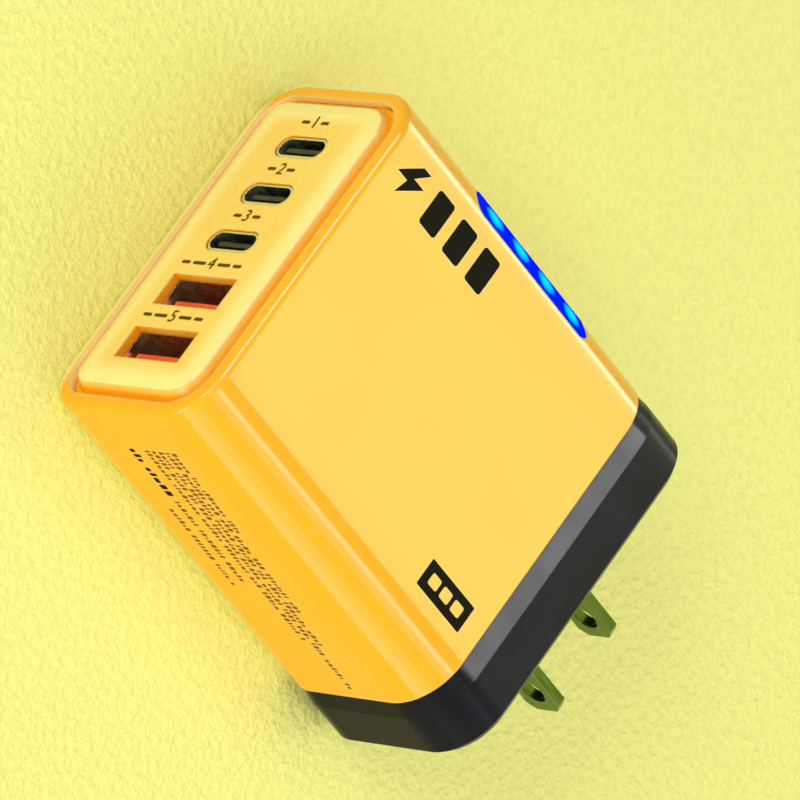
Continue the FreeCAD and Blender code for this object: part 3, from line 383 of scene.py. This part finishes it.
# Pad-printed ink: a thin flat film, matt against the gloss plastic, its tone a little uneven; the grain is coarser
# than a real film's, so that it shows
def printedInk(name, look):
    material, tree, shader, place = newMaterial(name, look["finish"])
    cover = addNode(tree, "TexNoise", {"Vector": place, "Scale": 1 / (look["grainMm"] * mm), "Detail": 4.0})
    tone = addNode(tree, "ValToRGB", {"Fac": cover.outputs["Fac"]}, zip(wideSpan, (look["shade"], look["colour"])))
    tree.links.new(tone.outputs["Color"], shader.inputs["Base Color"])
    bump = addNode(tree, "Bump", {"Strength": 0.1, "Distance": inkGrainDepth, "Height": cover.outputs["Fac"]})
    tree.links.new(bump.outputs["Normal"], shader.inputs["Normal"])
    return material


inkThickness = 0.03 * mm
inkGrainDepth = 0.01 * mm
inkClearance = 0.004 * mm  # keeps a film off the face below it
inkLooks = {
    "black": {"finish": {"IOR": 1.5, "Roughness": 0.6, "Base Color": "#0f0e0a", "Specular IOR Level": 0.05},
              "colour": "#13120c", "shade": "#0b0a07", "grainMm": 0.3},
    "brown": {"finish": {"IOR": 1.5, "Roughness": 0.6, "Base Color": "#85591c", "Specular IOR Level": 0.1},
              "colour": "#906222", "shade": "#744b14", "grainMm": 0.2},
    "olive": {"finish": {"IOR": 1.5, "Roughness": 0.6, "Base Color": "#5a4a12", "Specular IOR Level": 0.1},
              "colour": "#625118", "shade": "#4c3e0d", "grainMm": 0.2},
    "yellow": {"finish": {"IOR": 1.5, "Roughness": 0.5, "Base Color": "#ffcf57"},
               "colour": "#ffd25e", "shade": "#fbc84c", "grainMm": 0.3},
}
inks = {name: printedInk(name + "_ink_pad_printed", look) for name, look in inkLooks.items()}


def roundedBar(x, y, width, height, radius, turns=6):
    outline = []
    for sideX, sideY, start in ((1, 1, 0), (-1, 1, 90), (-1, -1, 180), (1, -1, 270)):
        for step in range(turns + 1):
            angle = math.radians(start + 90 * step / turns)
            outline.append((x + sideX * (width / 2 - radius) + radius * math.cos(angle),
                            y + sideY * (height / 2 - radius) + radius * math.sin(angle)))
    return outline


def layPrint(name, mesh, ink):
    mesh.materials.clear()
    mesh.materials.append(ink)
    piece = bpy.data.objects.new(name, mesh)
    scene.collection.objects.link(piece)
    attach(piece, "root")


def printShapes(name, shapes, face, ink, lift=inkClearance):
    # shapes are outlines in millimetres; each becomes a closed film on the face
    work = bmesh.new()
    for shape in shapes:
        film = work.faces.new([work.verts.new((x * mm, y * mm, lift)) for x, y in shape])
        raised = bmesh.ops.extrude_face_region(work, geom=[film])["geom"]
        for vertex in [item for item in raised if isinstance(item, bmesh.types.BMVert)]:
            vertex.co.z += inkThickness
    bmesh.ops.recalc_face_normals(work, faces=work.faces)
    work.transform(face)
    mesh = bpy.data.meshes.new(name)
    work.to_mesh(mesh)
    work.free()
    layPrint(name, mesh, ink)


# Front mark: a bolt and three plain bars
markLook = {"middleX": -17.6, "fromRim": 2.8, "height": 5.4, "boltWidth": 5.4, "bars": 3, "barWidth": 3.5, "gap": 1.85,
            "round": 0.5}
bolt = [(0.62, 1.0), (0.02, -0.12), (0.42, -0.12), (0.30, -1.0), (0.98, 0.22), (0.56, 0.22), (0.92, 1.0)]
markShapes = [[(x * markLook["boltWidth"], y * markLook["height"] / 2) for x, y in bolt]]
for index in range(markLook["bars"]):
    start = markLook["boltWidth"] + markLook["gap"] + index * (markLook["barWidth"] + markLook["gap"])
    markShapes.append(roundedBar(start + markLook["barWidth"] / 2, 0, markLook["barWidth"], markLook["height"],
                                 markLook["round"]))
markOrigin = Vector((markLook["middleX"] * mm, rimY + markLook["fromRim"] * mm, sleeveHigh.z))
printShapes("front_mark_print", markShapes, placed(alongY, -alongX, markOrigin), inks["black"])

# Plate near the base: a black field with three plain stripes
plateLook = {"middleX": 15.6, "fromRim": 47.2, "length": 9.7, "height": 4.1, "round": 0.15,
             "stripe": 1.9, "stripeHeight": 1.7, "stripeStep": 2.6, "stripeRound": 0.3,
             "stripeLiftMm": 0.036}  # on top of the black film
plateOrigin = Vector((plateLook["middleX"] * mm, rimY + plateLook["fromRim"] * mm, sleeveHigh.z))
plateFace = placed(alongY, -alongX, plateOrigin)
plate = roundedBar(0, 0, plateLook["length"], plateLook["height"], plateLook["round"])
stripes = [roundedBar(step * plateLook["stripeStep"], 0, plateLook["stripe"], plateLook["stripeHeight"],
                      plateLook["stripeRound"]) for step in (-1, 0, 1)]
printShapes("front_plate_print", [plate], plateFace, inks["black"])
printShapes("front_plate_stripes", stripes, plateFace, inks["yellow"],
            lift=plateLook["stripeLiftMm"] * mm)

# Side print: rows of small plain ticks in uneven groups; one row is bolder. A row is (level, start, stop)
sideLook = {
    "fine": {"rows": [(4.9, 7.7, 22.5), (3.6, 7.7, 38.5), (2.3, 7.7, 45.0), (1.0, 7.7, 53.3), (-0.4, 7.7, 44.0),
                      (-3.1, 17.8, 33.0), (-5.7, 19.5, 34.0)],
             "height": 0.95, "widths": (0.22, 0.6), "gap": 0.3, "ink": "brown"},
    "bold": {"rows": [(-3.3, 7.7, 16.2)], "height": 1.25, "widths": (0.5, 1.0), "gap": 0.38, "ink": "black"},
}
tickLook = {"group": (3, 8), "groupGap": 3.0, "heights": (0.7, 1.0, 1.0), "round": 0.1, "turns": 2, "seed": 7}
rng = random.Random(tickLook["seed"])
sideFace = placed(alongY, alongZ, Vector((sleeveHigh.x, rimY, middleZ)))
for weight, look in sideLook.items():
    ticks = []
    for level, start, stop in look["rows"]:
        reach, left = start, rng.randint(*tickLook["group"])
        while reach < stop:
            width = rng.uniform(*look["widths"])
            height = look["height"] * rng.choice(tickLook["heights"])
            ticks.append(roundedBar(reach + width / 2, level + (height - look["height"]) / 2, width, height,
                                    tickLook["round"], tickLook["turns"]))
            left -= 1
            reach += width + look["gap"] * (1.0 if left else tickLook["groupGap"])
            left = left or rng.randint(*tickLook["group"])
    printShapes(f"side_{weight}_print", ticks, sideFace, inks[look["ink"]])

# Port numbers: plain figures 1 to 5 between short bars, one beside each socket. A bar is (distance, length)
figureLook = {"size": 2.7, "shiftZ": -0.55, "barHeight": 0.5, "barRound": 0.2, "barTurns": 3,
              "usb_c": {"gap": 4.1, "bars": [(1.85, 1.5)]},
              "usb_a": {"gap": 4.55, "bars": [(2.4, 2.4), (5.0, 1.6)]}}
labelBars = []
labelZ = middleZ + figureLook["shiftZ"] * mm
for number, port in enumerate(sorted(shells, key=lambda name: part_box(name)[0].x), start=1):
    low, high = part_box(port)
    look = figureLook[port.split("_shell_")[0]]
    labelX = (low.x + high.x) / 2 - look["gap"] * mm
    for distance, length in look["bars"]:
        for middle in (-distance, distance):
            labelBars.append(roundedBar(middle, -labelX / mm, length, figureLook["barHeight"],
                                        figureLook["barRound"], figureLook["barTurns"]))
    figure = bpy.data.curves.new("figure", "FONT")
    figure.body = str(number)
    figure.size = figureLook["size"] * mm
    figure.align_x = "CENTER"
    figure.align_y = "CENTER"
    figure.extrude = inkThickness / 2
    drawn = bpy.data.objects.new("figure", figure)
    scene.collection.objects.link(drawn)
    bpy.context.view_layer.update()
    mesh = bpy.data.meshes.new_from_object(drawn.evaluated_get(bpy.context.evaluated_depsgraph_get()))
    bpy.data.objects.remove(drawn)
    mesh.transform(placed(alongZ, -alongX, Vector((labelX, panelFaceY - inkThickness, labelZ))))
    layPrint(f"port_number_{number}", mesh, inks["olive"])
barFace = placed(alongZ, -alongX, Vector((0, panelFaceY, labelZ)))
printShapes("port_number_bars", labelBars, barFace, inks["olive"])
print("print done")

# Floor: pale lemon embossed paper, with grain that only catches the light at a slant
floorLook = {"finish": {"Roughness": 0.7, "IOR": 1.45}, "colour": "#f9f88e", "shade": "#f1f086",
             "grainMm": 1.2, "reliefMm": 0.7, "relief": 0.75, "reach": 3.0,
             "dropMm": 0.02}  # just clear of the back face
floorMaterial, tree, shader, place = newMaterial("lemon_paper_embossed", floorLook["finish"])
grain = addNode(tree, "TexNoise", {"Vector": place, "Scale": 1 / (floorLook["grainMm"] * mm), "Detail": 3.0})
tone = addNode(tree, "ValToRGB", {"Fac": grain.outputs["Fac"]},
               zip(wideSpan, (floorLook["shade"], floorLook["colour"])))
tree.links.new(tone.outputs["Color"], shader.inputs["Base Color"])
bump = addNode(tree, "Bump", {"Strength": floorLook["relief"], "Distance": floorLook["reliefMm"] * mm,
                              "Height": grain.outputs["Fac"]})
tree.links.new(bump.outputs["Normal"], shader.inputs["Normal"])
floorCorners = [(x * floorLook["reach"], y * floorLook["reach"], 0) for x, y in ((-1, -1), (1, -1), (1, 1), (-1, 1))]
floorMesh = bpy.data.meshes.new("floor")
floorMesh.from_pydata(floorCorners, [], [(0, 1, 2, 3)])
floorMesh.materials.append(floorMaterial)
floor = bpy.data.objects.new("floor", floorMesh)
floor.location.z = -floorLook["dropMm"] * mm
scene.collection.objects.link(floor)

# Light: soft boxes placed by the direction each face mirrors to the lens. The fill only lightens and shows no image,
# the boxes hidden from diffuse only show in the gloss, and the front one has the lemon tint of the paper round it.
# Glow is the brightness that a box's mirror image shows; size is in metres
white = "#ffffff"
lightLook = {
    "front": {"toward": (-0.659, 0.529, 0.534), "size": (0.42, 1.06), "glow": 3.62, "tint": "#f1ffbf",
              "hide": "diffuse", "skip": ("blade_left", "blade_right")},
    "fill": {"toward": (0.2, 0.35, 0.9), "size": (1.6, 1.6), "glow": 1.38, "hide": "glossy"},
    "collar": {"toward": (-0.492, 0.357, 0.787), "size": (0.14, 0.66), "glow": 58.0, "hide": "diffuse",
               "only": ("base_cover",)},
    "edge": {"toward": (-0.84, 0.53, 0.15), "size": (0.42, 0.24), "glow": 3.0},
    "cornerHigh": {"toward": (0.11, 0.53, 0.84), "size": (0.5, 0.16), "glow": 3.6, "hide": "diffuse"},
    "cornerMiddle": {"toward": (0.28, 0.53, 0.80), "size": (0.5, 0.21), "glow": 1.05, "hide": "diffuse"},
    "cornerLow": {"toward": (0.74, 0.53, 0.42), "size": (0.5, 0.26), "glow": 0.85, "hide": "diffuse"},
    "cornerFoot": {"toward": (0.82, 0.53, 0.18), "size": (0.5, 0.29), "glow": 1.6, "hide": "diffuse"},
    "side": {"toward": (0.95, -0.25, 0.2), "size": (0.7, 0.5), "glow": 3.6},
    "rim": {"toward": (-0.39, -0.77, 0.47), "size": (0.5, 0.5), "glow": 7.3, "hide": "diffuse", "along": alongX},
    "ports": {"toward": (0.15, -0.85, 0.5), "size": (0.7, 0.5), "glow": 4.2, "along": alongX},
}
lampDistance = 1.1
target = Vector((0, 0, middleZ))
for name, look in lightLook.items():
    out = Vector(look["toward"]).normalized()
    longAxis = look.get("along", alongY)
    longAxis = (longAxis - out * longAxis.dot(out)).normalized()
    lamp = bpy.data.lights.new(name + "_softbox", "AREA")
    lamp.shape = "RECTANGLE"
    lamp.color = linear(look.get("tint", white))[:3]
    lamp.size, lamp.size_y = look["size"]
    lamp.energy = look["glow"] * math.pi * lamp.size * lamp.size_y
    box = bpy.data.objects.new(name + "_softbox", lamp)
    box.matrix_world = placed(longAxis, out.cross(longAxis), target + out * lampDistance)
    box.visible_diffuse = look.get("hide") != "diffuse"
    box.visible_glossy = look.get("hide") != "glossy"
    if "only" in look or "skip" in look:  # a flag in front of the box: it reaches some pieces and not others
        flag = bpy.data.collections.new(name + "_flag")
        for piece in look.get("only", ()) + look.get("skip", ()):
            flag.objects.link(nodes[piece])
        for entry in flag.collection_objects:
            entry.light_linking.link_state = "INCLUDE" if "only" in look else "EXCLUDE"
        box.light_linking.receiver_collection = flag
    scene.collection.objects.link(box)

# Studio walls: dim white as light, and lemon like the paper where the lens, metal or gloss sees them
wallLook = {"light": white, "lightLevel": 0.25, "seen": "#f9f7a6", "seenLevel": 1.0}
world = bpy.data.worlds.new("studio")
world.use_nodes = True
scene.world = world
tree = world.node_tree
ray = addNode(tree, "LightPath")
mirrored = addNode(tree, "Math", {0: ray.outputs["Is Glossy Ray"], 1: ray.outputs["Is Transmission Ray"]},
                   operation="MAXIMUM")
seen = addNode(tree, "Math", {0: ray.outputs["Is Camera Ray"], 1: mirrored.outputs["Value"]}, operation="MAXIMUM")
walls = addNode(tree, "Mix", {"Factor": seen.outputs["Value"], "A": linear(wallLook["light"]),
                              "B": linear(wallLook["seen"])}, data_type="RGBA")
level = addNode(tree, "MapRange", {"Value": seen.outputs["Value"], "To Min": wallLook["lightLevel"],
                                   "To Max": wallLook["seenLevel"]})
background = tree.nodes["Background"]
tree.links.new(walls.outputs["Result"], background.inputs["Color"])
tree.links.new(level.outputs["Result"], background.inputs["Strength"])

# Camera: long lens, tipped over as the picture was taken; its place is in millimetres
cameraLook = {"at": (529.9, -721.78, 1046.27), "right": (-0.5383, 0.5356, 0.6506),
              "down": (0.7461, 0.6619, 0.0724), "lens": 480.3, "sensor": 36.0}
right = Vector(cameraLook["right"]).normalized()
down = Vector(cameraLook["down"])
up = -(down - right * down.dot(right)).normalized()
lens = bpy.data.cameras.new("camera")
lens.sensor_width = cameraLook["sensor"]
lens.lens = cameraLook["lens"]
camera = bpy.data.objects.new("camera", lens)
camera.matrix_world = placed(right, up, Vector(cameraLook["at"]) * mm)
scene.collection.objects.link(camera)
scene.camera = camera
print("stage done")
